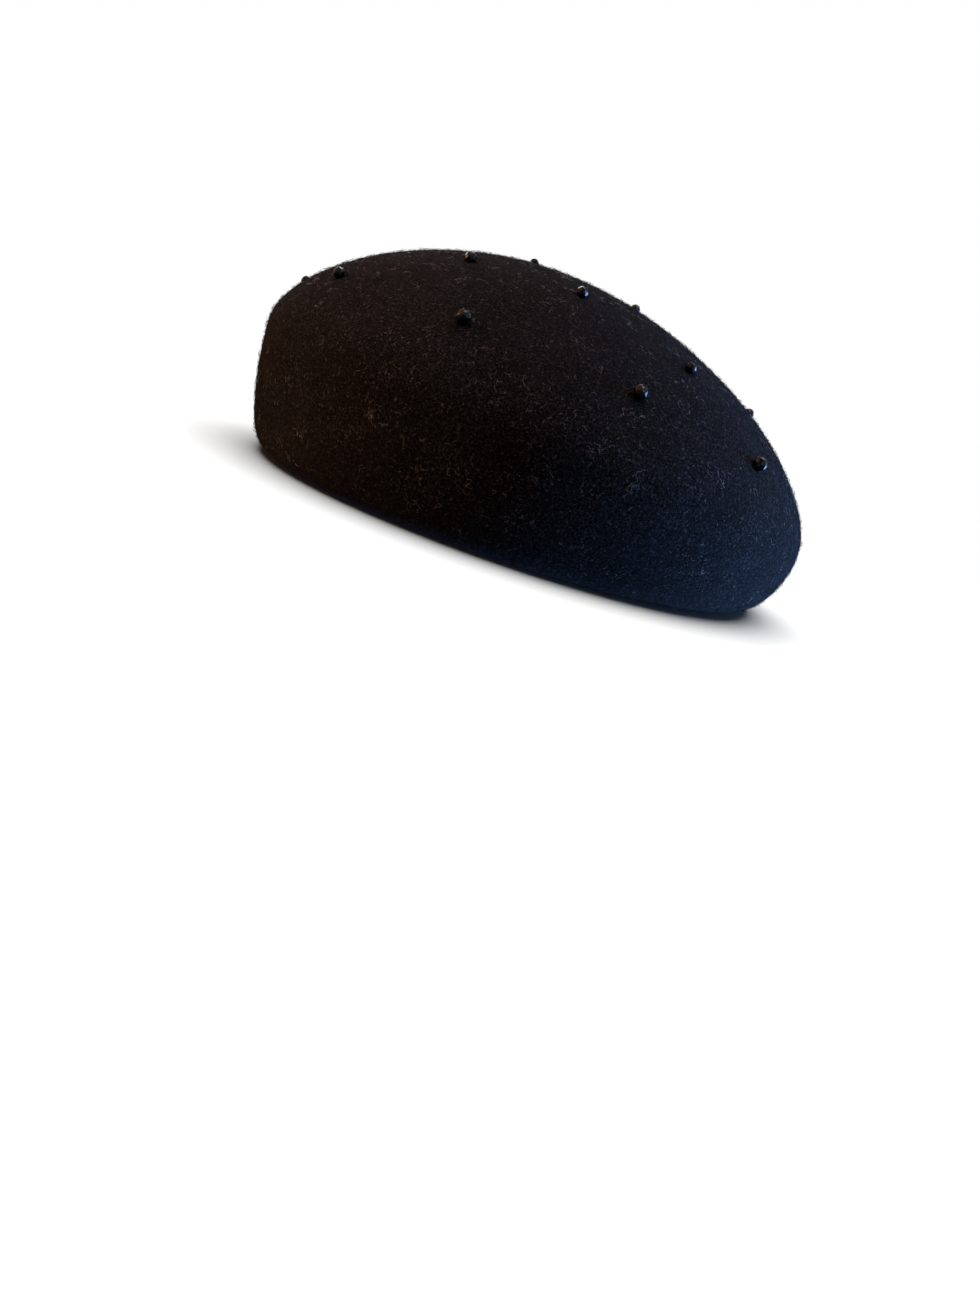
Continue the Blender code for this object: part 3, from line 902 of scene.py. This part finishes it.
petersham = bpy.data.materials.new("black petersham")
petersham.use_nodes = True
weave_nodes, weave_link = petersham.node_tree.nodes, petersham.node_tree.links.new
weave_shader = weave_nodes["Principled BSDF"]
weave_shader.inputs["Roughness"].default_value = 0.62
weave_shader.inputs["Sheen Weight"].default_value = 0.15
weave_map = weave_nodes.new("ShaderNodeUVMap")
weave_map.uv_map = "ribbon"
weft = weave_nodes.new("ShaderNodeTexWave")
weft.bands_direction = "Y"
weft.inputs["Scale"].default_value = 143
weft.inputs["Distortion"].default_value = 0.6
weft.inputs["Detail"].default_value = 1
weave_link(weave_map.outputs["UV"], weft.inputs["Vector"])
weave_places = weave_nodes.new("ShaderNodeTexCoord")
weave_fuzz = weave_nodes.new("ShaderNodeGroup")
weave_fuzz.node_tree = tangled_fibres
weave_fuzz.inputs["Size"].default_value = 0.0009
weave_link(weave_places.outputs["Object"], weave_fuzz.inputs["Vector"])
weave_mix = weave_nodes.new("ShaderNodeMath")
weave_mix.operation = "MULTIPLY_ADD"
weave_mix.inputs[1].default_value = 0.35
weave_link(weave_fuzz.outputs["Fibres"], weave_mix.inputs[0])
weave_link(weft.outputs["Fac"], weave_mix.inputs[2])
weave_tone = weave_nodes.new("ShaderNodeMix")
weave_tone.data_type = "RGBA"
weave_tone.inputs["A"].default_value = (0.0055, 0.0052, 0.006, 1)
weave_tone.inputs["B"].default_value = (0.030, 0.028, 0.031, 1)
weave_link(weave_mix.outputs[0], weave_tone.inputs["Factor"])
weave_link(weave_tone.outputs["Result"], weave_shader.inputs["Base Color"])
weave_bump = weave_nodes.new("ShaderNodeBump")
weave_bump.inputs["Distance"].default_value = 0.00005
weave_link(weave_mix.outputs[0], weave_bump.inputs["Height"])
weave_link(weave_bump.outputs["Normal"], weave_shader.inputs["Normal"])

band = piece_from("ribbed_petersham_band", corners, faces, petersham, 80)
ribbon_map = band.data.uv_layers.new(name="ribbon")
map_scale = 10
for loop in band.data.loops:
    along = column_walk[loop.vertex_index // around_ribbon]
    across = band.data.vertices[loop.vertex_index].co.z
    ribbon_map.data[loop.index].uv = (along * map_scale, across * map_scale)
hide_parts("petersham_band")


# Band stitches. The ribbon is sewn to the collar by hand in running stitches near its lower edge:
# each lies on the ribbon's face and dives through it at both ends.
stitch_pitch = 0.0062
stitch_length = 0.0042
stitch_height = RIBBON_LIFT + 0.003
stitch_dip = 0.0004
stitch_slant = 0.0004
sewing_lay = 0.0012
stitch_lines = []
first_stitch = ribbon_walked[np.searchsorted(fine_bearings, 90 + LAP_ANGLE / 2 + 1)]
for number in range(int((ribbon_length - 0.004 - first_stitch) / stitch_pitch)):
    line = []
    for share in np.linspace(0, 1, 9):
        walk = first_stitch + number * stitch_pitch + share * stitch_length
        bearing = np.interp(walk, ribbon_walked, fine_bearings)
        bulge = math.sin(math.pi * share) ** 0.35
        growth = -lap_inset(bearing) + stitch_dip - (stitch_dip + THREAD * 0.45) * bulge
        slant = stitch_slant * (share - 0.5)
        line.append(opening_line(np.radians(bearing), growth, stitch_height + slant))
    stitch_lines.append(line)
corners, faces = twist_thread(stitch_lines, THREAD, sewing_lay, closed=False)
running = piece_from("band_running_stitches", corners, faces, black_cotton)
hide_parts("band_thread")


# Edge wire. Spring steel millinery wire bound with black cotton, laid on the collar's cut edge so that
# the opening keeps its oval; its two ends meet inside the sleeve at the centre back.
WIRE_RADIUS = 0.0006
SLEEVE_WALL = 0.0003
SLEEVE_LENGTH = 0.012
SLEEVE_RADIUS = WIRE_RADIUS + GAP + SLEEVE_WALL
WIRE_GROWTH = COLLAR_FACE + FELT / 2
WIRE_HEIGHT = COLLAR_HEIGHT + GAP + SLEEVE_RADIUS
WIRE_ENDS = 0.001
wrap_pitch = 0.0007
wire_sides = 10
wire_reach = math.degrees(WIRE_ENDS / 2 / (HEAD_HALF_WIDTH + WIRE_GROWTH))
wire_bearings = np.radians(np.linspace(90 + wire_reach, 450 - wire_reach, 4000))
wire_line, wire_length = along_line(
    opening_line(wire_bearings, WIRE_GROWTH, WIRE_HEIGHT), wrap_pitch / 4, closed=False
)
wire_out, wire_up = carried_frames(wire_line, closed=False)
corners = []
for step, (point, out, up) in enumerate(zip(wire_line, wire_out, wire_up)):
    for corner in range(wire_sides):
        turn = math.tau * corner / wire_sides
        ridge = math.cos(math.tau * step / 4 - turn)
        radius = WIRE_RADIUS * (0.93 + 0.06 * ridge)
        corners.append(point + radius * (math.cos(turn) * out + math.sin(turn) * up))
faces = tube_faces(len(wire_line), wire_sides, False, 0)
wrapped_cotton = soft_material(
    "cotton binding",
    dark=(0.010, 0.010, 0.011),
    light=(0.070, 0.067, 0.069),
    size=0.0005,
    curl=0.7,
    raised=0.00005,
    roughness=0.8,
    sheen=0.2,
)
wire = piece_from("cotton_bound_wire", corners, faces, wrapped_cotton, 80)
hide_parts("edge_wire")


# Wire stitches. One thread whips the wire to the collar's edge: up behind the collar, over the wire,
# down the collar's face, and back through the felt, on and on round the opening. Behind the sleeve it
# runs straight on.
whip_pitch = 0.0065
whip_low = COLLAR_HEIGHT - 0.002
sleeve_reach = math.degrees(SLEEVE_LENGTH / 2 / (HEAD_HALF_WIDTH + WIRE_GROWTH))
thread_ease = 0.00003
over_wire = WIRE_RADIUS + THREAD / 2 + thread_ease
behind = COLLAR_BACK + 0.00025
in_front = COLLAR_FACE + thread_ease
round_edge = [(behind, whip_low), (behind, COLLAR_HEIGHT)]
for turn in np.radians(np.linspace(-20, 200, 9)):
    round_edge.append((WIRE_GROWTH + over_wire * math.cos(turn), WIRE_HEIGHT + over_wire * math.sin(turn)))
round_edge += [(in_front, COLLAR_HEIGHT - 0.0003), (in_front, whip_low)]
whip_turns = round(wire_length / whip_pitch)
whip_line = []
for turn in range(whip_turns):
    for place, (growth, height) in enumerate(round_edge):
        bearing = 90 + 360 * (turn + place / len(round_edge)) / whip_turns
        from_back = abs((bearing - 90 + 180) % 360 - 180)
        if from_back < sleeve_reach + 4:
            growth, height = round_edge[0]
        whip_line.append(opening_line(np.radians(bearing), growth, height))
corners, faces = twist_thread([whip_line], THREAD * 0.9, sewing_lay, closed=True)
whipping = piece_from("wire_whip_stitches", corners, faces, black_cotton)
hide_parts("wire_thread")


# Wire sleeve. A short nickel tube slid over both ends of the wire and pinched twice with pliers on
# each side of the middle, its ends flared a little.
sleeve_metal = bpy.data.materials.new("nickel sleeve")
sleeve_metal.use_nodes = True
metal_nodes, metal_link = sleeve_metal.node_tree.nodes, sleeve_metal.node_tree.links.new
metal_shader = metal_nodes["Principled BSDF"]
metal_shader.inputs["Metallic"].default_value = 1.0
metal_places = metal_nodes.new("ShaderNodeTexCoord")
metal_wear = metal_nodes.new("ShaderNodeTexNoise")
metal_wear.inputs["Scale"].default_value = 1400
metal_wear.inputs["Detail"].default_value = 5
metal_link(metal_places.outputs["Object"], metal_wear.inputs["Vector"])
metal_tone = metal_nodes.new("ShaderNodeMix")
metal_tone.data_type = "RGBA"
metal_tone.inputs["A"].default_value = (0.36, 0.34, 0.31, 1)
metal_tone.inputs["B"].default_value = (0.66, 0.64, 0.60, 1)
metal_link(metal_wear.outputs["Fac"], metal_tone.inputs["Factor"])
metal_link(metal_tone.outputs["Result"], metal_shader.inputs["Base Color"])
metal_rough = metal_nodes.new("ShaderNodeMapRange")
metal_rough.inputs["To Min"].default_value = 0.22
metal_rough.inputs["To Max"].default_value = 0.50
metal_link(metal_wear.outputs["Fac"], metal_rough.inputs["Value"])
metal_link(metal_rough.outputs["Result"], metal_shader.inputs["Roughness"])

sleeve_sides = 20
crimps = (0.0018, 0.0040)
crimp_reach = 0.0005
crimp_depth = 0.00018
flare_out = 0.00008
sleeve_walk = np.linspace(-SLEEVE_LENGTH / 2, SLEEVE_LENGTH / 2, 49)
rings = []
for inner in (False, True):
    for walk in reversed(sleeve_walk) if inner else sleeve_walk:
        pinch = max(math.exp(-(((abs(walk) - place) / crimp_reach) ** 2)) for place in crimps)
        flare = flare_out * math.exp(-(((SLEEVE_LENGTH / 2 - abs(walk)) / crimp_reach) ** 2))
        bore = WIRE_RADIUS + GAP if inner else SLEEVE_RADIUS
        bearing = math.radians(90) + walk / (HEAD_HALF_WIDTH + WIRE_GROWTH)
        for corner in range(sleeve_sides):
            turn = math.tau * corner / sleeve_sides
            radius = bore + (0 if inner else -flare) - crimp_depth * pinch * abs(math.sin(turn))
            growth = WIRE_GROWTH + radius * math.cos(turn)
            rings.append(opening_line(bearing, growth, WIRE_HEIGHT + radius * math.sin(turn)))
faces = tube_faces(2 * len(sleeve_walk), sleeve_sides, True, 0)
sleeve = piece_from("crimped_wire_sleeve", rings, faces, sleeve_metal, 50)
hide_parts("wire_sleeve")
